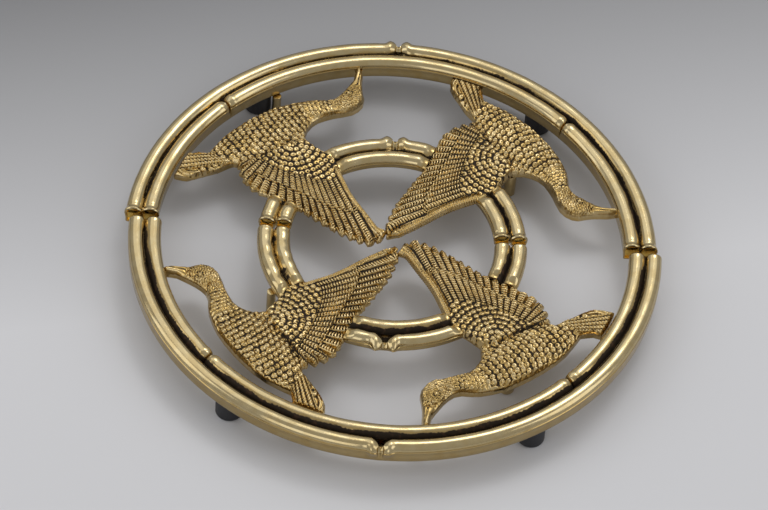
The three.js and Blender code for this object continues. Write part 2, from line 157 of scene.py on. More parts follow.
# painted reflection of the light bounced round inside the hollows
hollow_bounce_amber = aged_shaded_gold("hollow_bounce_amber", BOUNCE_AMBER, BOUNCE_BROWN_AMBER, polish=0.22, pores=0.3, mottling=0.3)


def deselect_all():
    if bpy.context.object and bpy.context.object.mode != "OBJECT":
        bpy.ops.object.mode_set(mode="OBJECT")
    bpy.ops.object.select_all(action="DESELECT")


def take_up(piece):
    """Selects this piece alone."""
    deselect_all()
    piece.select_set(True)
    bpy.context.view_layer.objects.active = piece


def points_of(piece):
    places = np.zeros(len(piece.data.vertices) * 3)
    piece.data.vertices.foreach_get("co", places)
    return places.reshape(-1, 3) / MM


def put_points(piece, places):
    piece.data.vertices.foreach_set("co", (places * MM).ravel())
    piece.data.update()


def keep_patina_and_shade(piece, values):
    attribute = piece.data.attributes.new("patina_and_shade", "FLOAT", "POINT")
    attribute.data.foreach_set("value", np.clip(values, 0, 1).astype(np.float32))


def add_to_trivet(piece, material):
    piece.data.materials.clear()
    piece.data.materials.append(material)
    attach(piece, "root")
    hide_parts(piece["stands_for"])


def ease(value, low, high):
    """From 0 at the low value to 1 at the high one, with a soft start and end."""
    share = np.clip((value - low) / (high - low), 0, 1)
    return share * share * (3 - 2 * share)


def bump(distance, wide):
    """A bell: 1 at no distance, and nearly 0 at twice the width."""
    return np.exp(-((distance / wide) ** 2))


def is_cap(face):
    """The flat end of a round piece has many corners, a face of its wall has four."""
    return len(face.vertices) > 8


def polar(places, middle):
    away = places[:, :2] - middle
    return np.hypot(away[:, 0], away[:, 1]), np.arctan2(away[:, 1], away[:, 0])


def node_angles(node, middle):
    """Polar places of a CAD node's points, with the angles running on past half a turn."""
    radius, angle = polar(points_of(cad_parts[node]), middle)
    centre = np.angle(np.exp(1j * angle).mean())
    return radius, centre + np.angle(np.exp(1j * (angle - centre)))


SEAM_ROOM = 0.13  # the wall stands back by this, so that the seam stays in the cane's width
SEAM = ((0, -0.85), (0.07, -0.6), (0.1, -0.35), (0.03, -0.1), (-0.28, 0.08))  # out and up from the wall
BASE_HALF = 1.2
FOOT_CURVE = 0.6
FOOT_ANGLES = (-90, -60, -30, 0)
CROWN_ANGLES = (9, 16, 24, 33, 43, 54, 66, 78)


def cane_section(wall):
    """A cane's section as (across, up): base, rounded foot, wall, seam and crown."""
    half = CANE_HALF - SEAM_ROOM
    side = [(0, 0), (BASE_HALF, 0)]
    for turn in np.radians(FOOT_ANGLES):
        out = half - FOOT_CURVE + FOOT_CURVE * math.cos(turn)
        side.append((out, FOOT_CURVE + FOOT_CURVE * math.sin(turn)))
    side.append((half, 0.5 * wall))
    side += [(half + out, wall + rise) for out, rise in SEAM]
    for turn in np.radians(CROWN_ANGLES):
        side.append((half * math.cos(turn), wall + CROWN_RISE * math.sin(turn)))
    crest = [(0, wall + CROWN_RISE)]
    return np.array(side + crest + [(-across, up) for across, up in side[:0:-1]])


SHAPED_LENGTH = 7.0  # length of cane that counts as its end
FINE_STEP = 0.16  # along the shaped ends
LONG_STEP = 0.7
MERGE_WITHIN = 0.002


def spin_cane(node, middle, radius, base, wall, start, stop):
    """A plain cane: its section spun round the middle from start to stop and closed at both ends."""
    section = cane_section(wall)
    deselect_all()
    bpy.ops.mesh.primitive_circle_add(vertices=len(section), radius=CANE_HALF * MM)
    cane = bpy.context.object
    cane.name = "cane_" + node
    cane["stands_for"] = node
    across = radius + section[:, 0]
    first = np.column_stack([across * math.cos(start), across * math.sin(start), base + section[:, 1]])
    put_points(cane, first + [*middle, 0])
    bpy.ops.object.mode_set(mode="EDIT")
    bpy.ops.mesh.select_all(action="SELECT")
    end_turn = min(SHAPED_LENGTH / radius, (stop - start) / 3)
    long_turn = stop - start - 2 * end_turn
    for turn, step in ((end_turn, FINE_STEP), (long_turn, LONG_STEP), (end_turn, FINE_STEP)):
        steps = max(2, math.ceil(turn * radius / step))
        bpy.ops.mesh.spin(steps=steps, angle=-turn, center=(*(middle * MM), 0), axis=(0, 0, 1))
    bpy.ops.mesh.select_all(action="SELECT")
    bpy.ops.mesh.remove_doubles(threshold=MERGE_WITHIN * MM)
    bpy.ops.mesh.fill_holes(sides=0)
    bpy.ops.mesh.normals_make_consistent(inside=False)
    bpy.ops.mesh.select_mode(type="FACE")
    bpy.ops.mesh.select_all(action="DESELECT")
    bpy.ops.object.mode_set(mode="OBJECT")
    return cane


END_LIP = 0.55
END_WALL = 0.1
SAME_TURN = 0.99999  # cosine between a cap and the end that it closes


def inset_flares(cane, middle, flares):
    """Insets the caps of the flared ends twice, for lip and hollow. Tells which points are hollow."""
    for face in cane.data.polygons:
        turn = math.atan2(face.center.y / MM - middle[1], face.center.x / MM - middle[0])
        face.select = is_cap(face) and any(math.cos(turn - end) > SAME_TURN for end in flares)
    bpy.ops.object.mode_set(mode="EDIT")
    bpy.ops.mesh.inset(thickness=END_LIP * MM)
    bpy.ops.mesh.inset(thickness=END_WALL * MM)
    bpy.ops.object.mode_set(mode="OBJECT")
    hollow = np.zeros(len(cane.data.vertices), bool)
    for face in cane.data.polygons:
        if face.select and is_cap(face):
            hollow[list(face.vertices)] = True
    return hollow


RIPPLES = ((11, 0.7), (19, 1.3), (31, 2.1), (53, 2.9))  # waves in a full turn, and their phase
RIPPLE_HEIGHT = 0.016
WORN_RIPPLE = 0.05  # a worn length is so much lumpier
START_SLACK = 0.01


def plain_form(cane, hollow, node, middle, radius, base, wall, side, start, wear):
    """The points of a spun cane, as places across, up and round it, and how far each is to move."""
    places = points_of(cane)
    away, angle = polar(places, middle)
    angle = start + np.mod(angle - start + START_SLACK, 2 * math.pi) - START_SLACK
    u = away - radius
    up = places[:, 2] - base
    tall = wall + CROWN_RISE
    seed = sum(map(ord, node))
    ripple = sum(np.sin(angle * count + seed * phase + u * 0.3) for count, phase in RIPPLES)
    crown = ease(up, wall * 0.8, wall + 0.6)
    return SimpleNamespace(
        hollow=hollow, node=node, middle=middle, radius=radius, wall=wall, side=side, wear=wear,
        angle=angle, u=u, up=up, tall=tall, seed=seed, ripple=ripple, crown=crown,
        high=ease(up / tall, 0.2, 0.7), toward_groove=-side * u / CANE_HALF,
        swell=(RIPPLE_HEIGHT + WORN_RIPPLE * wear) * ripple * crown,
        sway=np.zeros_like(u), shrink=np.ones_like(u), height=np.ones_like(u), turned=angle.copy(),
    )


GROOVE_SOOT = 0.95
SOOT_ONSET = 0.3  # how near to the groove soot starts: 0 on the crest of a cane, 1 in the groove
SOOT_RUN = 0.7
OUTER_ONSET = 0.11  # the outer canes are cleaner than the inner ones
CLEAN_ONSET = 0.2  # one side of the trivet is cleaner than the other
CLEAN_ANGLE = 2.2
OPEN_END_ONSET = 0.3  # and so are the ends at the breaks
OPEN_END_RUN = (3, 12)
SEAM_SOOT = 0.42
SEAM_WIDE = 0.16
# painted shade: a patina too low for soot, which only deepens the gold of the walls
WALL_PAINTED_SHADE = 0.2


def lay_soot_and_shade(form, ends, start, stop):
    """Soot: thick in the groove between two canes and a line along the seam; painted shade deepens the
    gold of the wall.
    """
    clean = ease(np.cos(form.angle - CLEAN_ANGLE), 0.3, 0.9)
    onset = SOOT_ONSET + OUTER_ONSET * form.side + CLEAN_ONSET * clean + 0.06 * form.ripple
    for kind, far in ((ends[0], form.angle - start), (ends[1], stop - form.angle)):
        if kind in ("round", "flare"):
            onset += OPEN_END_ONSET * (1 - ease(far * form.radius, *OPEN_END_RUN))
    upper = ease(form.up, form.wall - 1.5, form.wall - 0.3)
    soot = GROOVE_SOOT * ease(form.toward_groove, onset, onset + SOOT_RUN) * upper
    soot += SEAM_SOOT * bump(form.up - form.wall - 0.02, SEAM_WIDE) * (np.abs(form.u) > CANE_HALF * 0.8)
    soot += 0.035 * form.ripple * (soot > 0.15)
    soot = soot * (1 - form.wear * np.clip(0.6 + 0.2 * form.ripple, 0.2, 1))
    # painted shade on the wall below the crown
    form.soot = np.maximum(soot, WALL_PAINTED_SHADE * (1 - ease(form.up, form.wall - 0.2, form.wall + 1.4)))


NOSE_LENGTH = 2.8
NOSE_HELD = {"round": 0.0, "joint": 0.2, "bud": 0.8}  # straight length before an end rounds off
NOSE_KNOB = {"round": 0.15, "joint": 0.15, "bud": 0.3}  # how far it swells behind that
NOSE_LOSS = {"round": 0.15, "joint": 0.0, "bud": 0.0}  # how much its wall narrows
CROWN_LOSS = 0.4
KNOB_BACK = 2.3
KNOB_WIDE = 1.2
ROUND_SADDLE = 0.85  # height left at the tip: a share of the wall, or of the crown at a joint
JOINT_SADDLE = 0.2


def round_off(form, kind, back):
    """A rounded end: it falls and narrows toward its tip, with a slight knob behind."""
    held = NOSE_HELD[kind]
    left = 1 - np.clip((back - held) / NOSE_LENGTH, 0, 1)
    full = (1 - left ** 2.5) ** 0.4
    saddle = form.wall * ROUND_SADDLE if kind == "round" else form.wall + JOINT_SADDLE * CROWN_RISE
    form.height *= 1 - (1 - saddle / form.tall) * (1 - full)
    form.shrink *= 1 - (1 - full) * (NOSE_LOSS[kind] + CROWN_LOSS * form.high)
    knob = bump(back - held - KNOB_BACK, KNOB_WIDE)
    form.swell = form.swell + NOSE_KNOB[kind] * knob * form.crown


JOINT_GAP = 0.6  # between the solids, closed by the ends that meet
JOINT_LAP = 0.02
JOINT_LENGTH = 3.0
NUB = {"joint": 0.4, "bud": 0.75}  # height of the nub on the tip of an end
NUB_BACK = 0.7
NUB_LONG = 0.4
NUB_OUT = 0.4
NUB_WIDE = 0.8
JOINT_SOOT = 0.4
JOINT_SOOT_LONG = 0.3


def close_joint(form, kind, back, inward):
    """An end that meets another: it runs on over the gap, with a nub on its tip and soot beside it."""
    close = (JOINT_GAP / 2 + JOINT_LAP) / form.radius * (1 - ease(back, 0, JOINT_LENGTH))
    form.turned -= inward * close
    nub = bump(back - NUB_BACK, NUB_LONG) * bump(form.side * form.u - NUB_OUT, NUB_WIDE)
    form.swell = form.swell + NUB[kind] * nub * form.high
    form.soot = form.soot + JOINT_SOOT * bump(back, JOINT_SOOT_LONG) * form.high * (1 - nub)


BUD_TIP = 1.6  # so much of a bud leans over as one, the rest less and less
BUD_LENGTH = 5.2
BALL_BACK = 2.9
BALL_LONG = 1.4
BALL_TALL = 2.4
BUD_NECK_BACK = 6.0
BUD_NECK_LONG = 1.2
BUD_NECK_LOSS = 0.1  # for each millimetre of ball
RIM_BUD = (0.9, 0.4)  # how far a bud leans out of the circle, and how far its ball stands out


def lean_bud(form, back, lean, ball):
    """A bud: the end leans away from the groove, swells to a ball and has a neck behind it."""
    form.sway += form.side * lean * (1 - ease(back, BUD_TIP, BUD_LENGTH)) * form.high
    round_wall = bump(back - BALL_BACK, BALL_LONG) * bump(form.up - form.wall, BALL_TALL)
    form.sway += form.side * ball * round_wall * ease(form.side * form.u, -0.6, CANE_HALF)
    form.shrink *= 1 - BUD_NECK_LOSS * ball * bump(back - BUD_NECK_BACK, BUD_NECK_LONG) * form.high


FLARE = 0.4
FLARE_LENGTH = 2.4
FLARE_INWARD = 0.7  # share of the flare on the side of the groove
LIP_BEAD = 0.34
LIP_BACK = 0.6
LIP_LONG = 0.5
LIP_UNEVEN = 0.2
WAIST = 0.25  # a flared end is drawn in behind its lip
WAIST_BACK = 2.4
WAIST_LONG = 1.0
END_HOLLOW = 0.7
AT_END = 0.1


def flare_out(form, back, inward):
    """A flared end: it widens to a beaded lip round a shallow hollow."""
    outer = form.side * form.u
    lip = FLARE * np.maximum(0, 1 - back / FLARE_LENGTH) ** 1.6
    form.sway += lip * ease(outer, 0, CANE_HALF) * form.side * form.high
    form.sway -= FLARE_INWARD * lip * ease(-outer, 0, CANE_HALF) * form.side * form.high
    uneven = 1 + LIP_UNEVEN * np.sin(5 * form.u + form.seed)
    bead = LIP_BEAD * bump(back - LIP_BACK, LIP_LONG) * uneven
    form.swell = form.swell + (bead - WAIST * bump(back - WAIST_BACK, WAIST_LONG)) * form.crown
    depth = form.hollow * (back < AT_END) * END_HOLLOW / form.radius
    form.turned += inward * depth


NOSE_PULL = 1.2  # a rounded end is drawn back by this from the flared end that it faces
PULL_LENGTH = 5.0
GROOVE_SPREAD = 0.22  # the walls beside the groove stand back by this
HOLLOW_PATINA = 0.1
CANE_SMOOTH = 38  # degrees


def bend_cane(node, middle, radius, base, wall, side, ends, bud, wear=0):
    """One length of cane: a section spun round the middle, then its soot and painted wall shade laid
    and its ends shaped.
    """
    angles = node_angles(node, middle)[1]
    start, stop = angles.min(), angles.max()
    cane = spin_cane(node, middle, radius, base, wall, start, stop)
    flares = [end for end, kind in zip((start, stop), ends) if kind == "flare"]
    hollow = inset_flares(cane, middle, flares)
    form = plain_form(cane, hollow, node, middle, radius, base, wall, side, start, wear)
    lay_soot_and_shade(form, ends, start, stop)
    for kind, end, inward in ((ends[0], start, 1), (ends[1], stop, -1)):
        back = np.maximum(inward * (form.angle - end), 0) * radius
        if kind in NOSE_HELD:
            round_off(form, kind, back)
        if kind == "round":
            form.turned += inward * (NOSE_PULL / radius * (1 - ease(back, 0, PULL_LENGTH)))
        if kind in NUB:
            close_joint(form, kind, back, inward)
        if kind == "bud":
            lean_bud(form, back, *bud)
        if kind == "flare":
            flare_out(form, back, inward)
        if kind == "duck":
            meet_duck(form, back, end)
    low = 1 - ease(form.up, wall + 0.2, wall + 1.2)
    form.sway -= side * GROOVE_SPREAD * ease(form.toward_groove, 0.7, 0.95) * low
    away = radius + form.u * form.shrink + form.sway + 0.4 * form.swell * form.u / CANE_HALF
    x = middle[0] + away * np.cos(form.turned)
    y = middle[1] + away * np.sin(form.turned)
    put_points(cane, np.column_stack([x, y, base + (form.up * form.height + form.swell)]))
    keep_patina_and_shade(cane, np.where(hollow, HOLLOW_PATINA, form.soot))
    take_up(cane)
    bpy.ops.object.shade_smooth_by_angle(angle=math.radians(CANE_SMOOTH))
    add_to_trivet(cane, cane_gold)
    # the hollow faces take the amber of the painted bounce light
    cane.data.materials.append(hollow_bounce_amber)
    for face in cane.data.polygons:
        face.material_index = int(hollow[list(face.vertices)].any())


RIM_OUTER_ENDS = {
    "rim_outer_back_right": ("flare", "bud"),
    "rim_outer_back_left": ("bud", "flare"),
    "rim_outer_front_left": ("round", "bud"),
    "rim_outer_front_right": ("bud", "round"),
}
for node, ends in RIM_OUTER_ENDS.items():
    half_middle = BACK_MIDDLE if "_back" in node else FRONT_MIDDLE
    bend_cane(node, half_middle, RIM_GROOVE + CANE_OFFSET, RIM_BASE, RIM_WALL, 1, ends, RIM_BUD)


# Rim, inner cane: six lengths that lie inside the first, of the same brass and section, and carry
# the beaks and tails of the ducks. Their joints on the diagonals are plain rounded ends.
RIM_INNER_ENDS = {
    "rim_inner_right_back": ("flare", "joint"),
    "rim_inner_back": ("joint", "joint"),
    "rim_inner_left_back": ("joint", "flare"),
    "rim_inner_left_front": ("round", "joint"),
    "rim_inner_front": ("joint", "joint"),
    "rim_inner_right_front": ("joint", "round"),
}
for node, ends in RIM_INNER_ENDS.items():
    half_middle = BACK_MIDDLE if node.endswith("back") else FRONT_MIDDLE
    bend_cane(node, half_middle, RIM_GROOVE - CANE_OFFSET, RIM_BASE, RIM_WALL, -1, ends, RIM_BUD)


# Ring: two lower canes side by side that run from duck to duck under their wings, cast with them.
# The outer one has bud joints at the back and front, and both break left and right like the rim.
RING_GROOVE = 44.2
RING_BASE = 12.7
RING_WALL = 2.4
RING_BUD = {"back": (0.9, 0.3), "front": (1.5, 1.5)}
DUCK_BITE = 1.0  # how far a cane runs into the duck that it meets
CUT_REACH = 8  # how far from its end a cane's cut is looked for
CUT_BANDS = 5  # and in how many bands across it
BAND_LAP = 0.4
MEET_LENGTH = 5.0
MEET_DROP = 0.24  # share of its height that a cane loses at a duck
MEET_SOOT = 0.25


def duck_cut(node, middle, end, across):
    """The turn that brings a square cane end onto the edge of the duck, read from the CAD node."""
    radius, angle = node_angles(node, middle)
    outward = 1 if end > angle.mean() else -1
    near = np.abs(angle - end) * radius < CUT_REACH
    edges = np.linspace(radius.min(), radius.max(), CUT_BANDS + 1)
    lines = 0.5 * (edges[1:] + edges[:-1])
    cut = []
    for low, high in zip(edges[:-1], edges[1:]):
        band = near & (radius > low - BAND_LAP) & (radius < high + BAND_LAP)
        cut.append((outward * angle[band]).max() * outward - end if band.any() else 0)
    return np.interp(across, lines, cut) + outward * DUCK_BITE / across


def meet_duck(form, back, end):
    """An end against a duck: cut to the duck's edge, a little lower there and sooty in the corner."""
    cut = duck_cut(form.node, form.middle, end, form.u + form.radius)
    form.turned += cut * (1 - ease(back, 0, MEET_LENGTH))
    form.height *= 1 - MEET_DROP * (1 - ease(back, 0.4, 3.4))
    form.soot = form.soot + MEET_SOOT * (1 - ease(back, 0.8, 2.4))


RING_ENDS = {
    "right_front": ("duck", "round"),
    "right_back": ("flare", "duck"),
    "left_back": ("duck", "flare"),
    "left_front": ("round", "duck"),
    "back_right": ("duck", "bud"),
    "back_left": ("bud", "duck"),
    "front_left": ("duck", "bud"),
    "front_right": ("bud", "duck"),
    "back": ("duck", "duck"),
    "front": ("duck", "duck"),
}
for label, side in (("outer", 1), ("inner", -1)):
    for stretch, ends in RING_ENDS.items():
        node = f"ring_{label}_{stretch}"
        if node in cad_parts:
            wear = 1 if stretch == "left_front" else 0
            radius = RING_GROOVE + side * CANE_OFFSET
            bud = RING_BUD["front" if "front" in stretch else "back"]
            bend_cane(node, MIDDLE, radius, RING_BASE, RING_WALL, side, ends, bud, wear)


# Ducks: four castings of one design, beak and tail on the rim and one wing over the ring. The brass
# is chased all over: bead scales on the body, two tiers of barbed feathers on the wing, ribs on the
# tail. Soot is left between the feathers and the raised parts are rubbed bright.
DUCK_TURNS = {"back_right": -0.4, "back_left": 85.4, "front_left": 178.4, "front_right": 264.9}
DUCK_UNIT = 0.8715  # the ducks are drawn inside a rim of radius 100 units
DUCK_BASE = 11.8
DUCK_TOP = 15.2
# Pale gold where the duck is rubbed and lit, browner gold where the patina rises: partly wear and age,
# partly painted shade on its walls.
RUBBED_LIT_GOLD = (0.61, 0.475, 0.25, 1)
BROWN_AGED_SHADED_GOLD = (0.45, 0.305, 0.105, 1)
duck_gold = aged_shaded_gold("duck_gold", RUBBED_LIT_GOLD, BROWN_AGED_SHADED_GOLD, polish=0.16, pores=0.25, mottling=0.2)


def curve_through(points, count):
    """Points at even spacing on a smooth curve through the given ones, and its length."""
    knots = np.array(points, float)
    ends = len(knots) - 1
    place = np.linspace(0, ends, 40 * ends + 1)
    i = np.minimum(place.astype(int), ends - 1)
    t = (place - i)[:, None]
    before, here, after = knots[np.maximum(i - 1, 0)], knots[i], knots[i + 1]
    beyond = knots[np.minimum(i + 2, ends)]
    leave, reach = (after - before) / 2, (beyond - here) / 2
    line = (2 * here - 2 * after + leave + reach) * t ** 3
    line += (-3 * here + 3 * after - 2 * leave - reach) * t ** 2 + leave * t + here
    run = np.concatenate([[0], np.cumsum(np.hypot(*np.diff(line, axis=0).T))])
    spots = np.linspace(0, run[-1], count)
    return np.column_stack([np.interp(spots, run, line[:, k]) for k in (0, 1)]), run[-1]


def beside(line, spots):
    """Signed distance of each spot from a line, left being plus, and the distance run along it."""
    best = np.full(len(spots), np.inf)
    signed = np.zeros(len(spots))
    run = np.zeros(len(spots))
    start = 0.0
    for one, two in zip(line[:-1], line[1:]):
        along = two - one
        length = np.hypot(*along)
        share = np.clip((spots - one) @ along / length ** 2, 0, 1)
        gap = spots - one - share[:, None] * along
        far = np.hypot(gap[:, 0], gap[:, 1])
        closer = far < best
        turn = along[0] * (spots[:, 1] - one[1]) - along[1] * (spots[:, 0] - one[0])
        best = np.where(closer, far, best)
        signed = np.where(closer, np.sign(turn) * far, signed)
        run = np.where(closer, start + share * length, run)
        start += length
    return signed, run


def fan(roots, tips, spots):
    """Place of each spot in a fan of straight feathers: across the fan, along it, and its length."""
    reach = tips - roots
    turn = reach[None, :, 0] * (spots[:, None, 1] - roots[None, :, 1])
    turn = turn - reach[None, :, 1] * (spots[:, None, 0] - roots[None, :, 0])
    length = np.hypot(reach[:, 0], reach[:, 1])
    share = ((spots[:, None, :] - roots[None]) * reach[None]).sum(2) / length ** 2
    crossing = (turn[:, :-1] * turn[:, 1:] <= 0) & (share[:, :-1] > -0.9) & (share[:, :-1] < 1.4)
    i = np.argmax(crossing, axis=1)
    row = np.arange(len(spots))
    one, two = turn[row, i], turn[row, i + 1]
    part = np.where(crossing.any(axis=1), one / np.where(one == two, 1, one - two), 0)
    across = np.where(crossing.any(axis=1), i + part, -1)
    along = share[row, i] + part * (share[row, i + 1] - share[row, i])
    return across, along, length[i]


def scatter(row, column):
    """A fixed number between 0 and 1 for each cell."""
    value = np.sin(row * 12.9898 + column * 78.233) * 43758.5453
    return value - np.floor(value)


BEAD_STRAY = 0.26  # how far a bead is off its place, as a share of the pitch


def beads(along, across, step, pitch, wide):
    """Rows of staggered beads with a dimple each: 1 at the top of a bead, 0 between beads."""
    row = np.floor(along / step)
    shifted = across / pitch + 0.5 * np.mod(row, 2)
    column = np.floor(shifted)
    jitter = scatter(row, column)
    x = (along / step - row - 0.5 + BEAD_STRAY * (jitter - 0.5)) * step
    y = (shifted - column - 0.5 + BEAD_STRAY * (scatter(column, row) - 0.5)) * pitch
    x, y = x / (0.95 * wide * step), y / (1.06 * wide * pitch)
    deep = 0.4 + 0.5 * scatter(row + 7, column)
    aside = 0.3 * (scatter(row, column + 5) - 0.5)
    dimple = deep * np.exp(-(((x - 0.28) / 0.42) ** 2) - ((y - aside) / 0.34) ** 2)
    return (np.clip(1 - x * x - y * y, 0, 1) ** 0.5 - dimple) * (0.75 + 0.5 * jitter)


def rib(across, wide=0.86):
    """A row of rounded ribs, one for each whole number across."""
    off = 2 * np.abs(across - np.floor(across) - 0.5)
    return np.sqrt(np.clip(1 - (off / wide) ** 3, 0, 1))


def rung(turns):
    """A ladder of flat-topped rungs, one for each whole turn."""
    return ease(np.cos(2 * math.pi * turns), -0.6, 0.4)


def dome(spots, middle, length, width, degrees):
    """A low dome over an oval: 1 in its middle, 0 from its edge on."""
    turn = math.radians(degrees)
    away = spots - np.array(middle)
    x = away[:, 0] * math.cos(turn) + away[:, 1] * math.sin(turn)
    y = away[:, 1] * math.cos(turn) - away[:, 0] * math.sin(turn)
    out = (2 * x / length) ** 2 + (2 * y / width) ** 2
    return np.clip(1 - out, 0, 1) ** 0.62


SPINE = [(30, 91), (37, 80.5), (46, 70), (55, 59.5), (63.5, 50), (69, 42), (72.8, 34), (78.5, 28)]
SPINE_POINTS = 60
DOMES = (  # rise, middle, length, width and turn
    (1.8, (51.2, 62.3), 44.5, 21, -42),
    (1.6, (69.6, 41.5), 25, 10, -74),
    (1.9, (77.3, 28.1), 14.5, 10, -13),
)
BODY_BEADS = (2.4, 2.25, 0.51)  # step between rows, pitch in a row and share of it that is filled
NECK_BEADS = (1.55, 1.7, 0.52)
HEAD_BEADS = (1.0, 1.05, 0.55)
BODY_FINISH = (0.85, 0.7, 0.85)  # height of a bead, soot between beads and how much less on top
NECK_FINISH = (0.42, 0.55, 0.6)
HEAD_FINISH = (0.55, 0.55, 0.6)
BODY_BOW = 0.022  # how much the rows bow across the body
NECK_BOW = 0.03
NECK_STARTS = (-22, -18)  # along the spine, from its end at the head
HEAD_STARTS = (-10.5, -8)


def body_face(spots):
    """Body, neck and head as domes with bead scales: rise, soot and place along the spine."""
    spine, spine_length = curve_through(SPINE, SPINE_POINTS)
    off_spine, on_spine = beside(spine, spots)
    along, across = on_spine * DUCK_UNIT, off_spine * DUCK_UNIT
    from_head = -((spine_length - on_spine) * DUCK_UNIT)
    neck = ease(from_head, *NECK_STARTS)
    head = ease(from_head, *HEAD_STARTS)
    waved = spots[:, 0] * DUCK_UNIT + 0.3 * np.sin(spots[:, 1] * 1.7)
    zones = (
        (1 - neck, beads(along - BODY_BOW * across ** 2, across, *BODY_BEADS), BODY_FINISH),
        (neck * (1 - head), beads(along - NECK_BOW * across ** 2, across, *NECK_BEADS), NECK_FINISH),
        (head, beads(waved, spots[:, 1] * DUCK_UNIT, *HEAD_BEADS), HEAD_FINISH),
    )
    body = np.max([height * dome(spots, *oval) for height, *oval in DOMES], axis=0)
    relief = sum(share * height * bead for share, bead, (height, dark, rubbed) in zones)
    soot = sum(share * (dark - rubbed * bead) for share, bead, (height, dark, rubbed) in zones)
    return body + relief, soot, from_head


TRAILING_EDGE = [
    (31.8, 71.6), (26.3, 69.6), (20, 65.2), (15.6, 54.9), (11.2, 42.3), (6.2, 32.5),
    (0.9, 22.4), (-2.5, 13), (-3.4, 8.9), (-0.9, 5.3),
]
FEATHER_ROOTS = [(36, 66), (34.1, 60.6), (29.6, 48.5), (27.7, 36), (29, 29.5), (32, 27.5)]
FEATHER_LINES = 240
FEATHER_PITCH = 4.6
ALL_COVERED = 2.7  # the upper tier covers so many feathers next to the body from root to tip
UPPER_REACH = 0.5  # and this share of the others
UPPER_RISE = 0.65
ROOT_RISE = 0.55
VANE_RISE = 0.8
FEATHER_SOOT = 0.81
VANE_RUBBED = 1.05
BARB_PITCH = 1.12
BARB_SWEEP = 0.8
QUILL_PLACE = 0.2
QUILL_WIDE = 0.09
TIP_LENGTH = 6.0
SCALLOP = 0.8  # how round the feather tips are


def feather_face(spots):
    """Two tiers of barbed feathers: where they are, rise, soot with a painted shadow past the upper
    tier, and how far the tips are drawn in.
    """
    tips, tip_length = curve_through(TRAILING_EDGE, FEATHER_LINES)
    roots = curve_through(FEATHER_ROOTS, FEATHER_LINES)[0]
    last = FEATHER_LINES - 1
    place, out, length = fan(roots, tips, spots)
    count = place / last * tip_length / FEATHER_PITCH
    far = out * length * DUCK_UNIT
    full = length * DUCK_UNIT
    long_rib = rib(count, 0.88 - 0.14 * ease(count, 7, 12))
    upper_rib = rib(count + 0.5)
    upper_end = np.where(count < ALL_COVERED, 2.0, UPPER_REACH) + 0.08 * (upper_rib - 0.7)
    upper = ease(-out, -upper_end - 0.015, -upper_end + 0.015)
    off_middle = np.abs(np.mod(count, 1) - 0.5)
    upper_off_middle = np.abs(np.mod(count + 0.5, 1) - 0.5)
    long_barb = rung(far / BARB_PITCH - BARB_SWEEP * off_middle)
    upper_barb = rung(far / BARB_PITCH - BARB_SWEEP * upper_off_middle)
    quill = bump(np.mod(count, 1) - QUILL_PLACE, QUILL_WIDE)
    long_vane = np.maximum(quill, long_rib * (0.1 + 0.85 * long_barb))
    vane = upper * upper_rib * (0.25 + 0.75 * upper_barb) + (1 - upper) * long_vane
    tip = ease(far, full - TIP_LENGTH, full) * (place >= 0)
    notch = (1 - long_rib) * tip
    rise = ROOT_RISE * (1 - np.clip(out, 0, 1)) + UPPER_RISE * upper + VANE_RISE * vane - notch
    # painted shadow: a dark line just past the ends of the upper tier, where its step casts shade
    shadow_below_upper = bump((out - upper_end) * length * DUCK_UNIT - 0.5, 0.7)
    soot = FEATHER_SOOT - 0.3 * notch - VANE_RUBBED * vane
    soot = soot + 0.25 * bump(out - 0.02, 0.12) + 0.3 * shadow_below_upper

    # each feather ends square to its own middle line, so that the edge of the wing is stepped
    per_line = tip_length / FEATHER_PITCH / last
    whole = np.hypot(*(tips - roots).T) * DUCK_UNIT
    lines = np.arange(FEATHER_LINES)
    middle_line = np.interp((np.floor(count) + 0.5) / per_line, lines, whole)
    side_line = np.interp(np.floor(count) / per_line, lines, whole)
    stair = 1.1 * (full - middle_line) + 0.6 * np.abs(middle_line - side_line)
    outward = (tips - roots)[np.clip(place.astype(int), 0, last)] / length[:, None]
    drawn_in = -outward * (tip * (stair + SCALLOP * (2 * off_middle) ** 2) / DUCK_UNIT)[:, None]
    return ease(out, -0.02, 0.03) * (place >= 0), rise, soot, drawn_in


SHOULDER = np.array([46, 50])
COVERT_PITCH = 2.3
LEAST_RING = 3  # beads keep their width inside this radius
COVERT_RISE = 1.15
COVERT_BEAD = 0.6
COVERT_SOOT = 0.95
COVERT_RUBBED = 1.05


def covert_face(spots):
    """Small bead feathers in rings round the shoulder of the wing: rise and soot."""
    away = (spots - SHOULDER) * DUCK_UNIT
    turn = np.arctan2(away[:, 1], -away[:, 0])
    ring = np.hypot(away[:, 0], away[:, 1])
    row = np.floor(ring / COVERT_PITCH) * COVERT_PITCH + COVERT_PITCH / 2
    covert = beads(ring, turn * np.maximum(row, LEAST_RING), COVERT_PITCH, COVERT_PITCH, 0.5)
    rise = COVERT_RISE + COVERT_BEAD * covert + 0.5 * ease(-ring, -14, -5)
    soot = COVERT_SOOT - COVERT_RUBBED * covert - 0.25 * ease(-ring, -9, -4)
    return rise, soot


LEADING_EDGE = [(3, 4.3), (10.3, 9.4), (22.9, 19.7), (33.2, 25.6), (41.6, 30.4), (46, 38.2)]
LEADING_POINTS = 60
LEADING_OUT = np.array([0.62, -0.78])
ROPES = ((0.75, 0.42, 1), (1.9, 0.4, 0.85))  # distance from the edge, width and height
ROPE_LENGTH = 36
ROPE_BASE = 0.3
ROPE_RISE = 0.65
ROPE_SOOT = 0.45
ROPE_RUBBED = 0.75
NICK_PITCH = 1.0
NICK = 0.25


